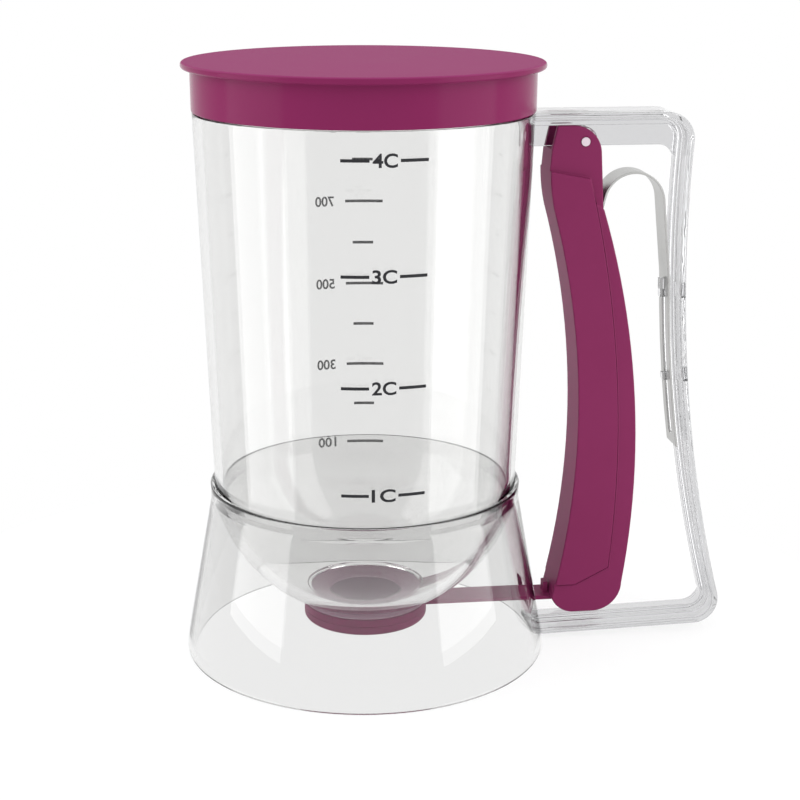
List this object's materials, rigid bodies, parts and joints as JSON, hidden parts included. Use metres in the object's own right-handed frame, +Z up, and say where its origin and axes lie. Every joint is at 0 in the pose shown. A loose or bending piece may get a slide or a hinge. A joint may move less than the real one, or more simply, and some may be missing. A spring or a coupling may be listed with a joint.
{
  "type": "pancake batter dispenser",
  "caption": "Clear measuring jug on a flared skirt, with a push-on cap and a handle whose sprung trigger opens a valve under the bowl.",
  "frame": {"origin": "on the axis of the jug, in the plane that the skirt stands on", "axes": "+Z up along the jug's axis, +X towards the handle, and the cup scale is on the -Y side"},
  "size_m": [0.1721, 0.114, 0.185],
  "materials": {
    "clear_plastic": "clear, polished, moulded",
    "magenta_plastic": "opaque, satin gloss, moulded",
    "seal_silicone": "soft, matt, translucent",
    "pin_steel": "plain ground pin",
    "spring_steel": "rolled spring strip",
    "scale_ink": "printed ink"
  },
  "bodies": {
    "stand": {"container": "clear_plastic", "base_skirt": "clear_plastic", "handle_frame": "clear_plastic", "leaf_spring": "spring_steel", "cup_scale": "scale_ink", "millilitre_scale": "scale_ink"},
    "valve_lever": {"trigger": "magenta_plastic", "pivot_pin": "pin_steel", "valve_arm": "magenta_plastic", "valve_cup": "magenta_plastic", "valve_seal": "seal_silicone"},
    "lid": {"lid": "magenta_plastic"}
  },
  "joints": [
    {"name": "trigger_squeeze", "type": "hinge", "parent": "stand", "child": "valve_lever", "pos_m": [0.0665, 0, 0.1606], "axis": [0, -1, 0], "range_deg": [0, 6], "stiffness_Nm_per_rad": 4.8, "springref_deg": -6.02, "deforming": ["leaf_spring"]},
    {"name": "lid_lift", "type": "slide", "parent": "stand", "child": "lid", "axis": [0, 0, 1], "range_m": [0, 0.03]}
  ]
}
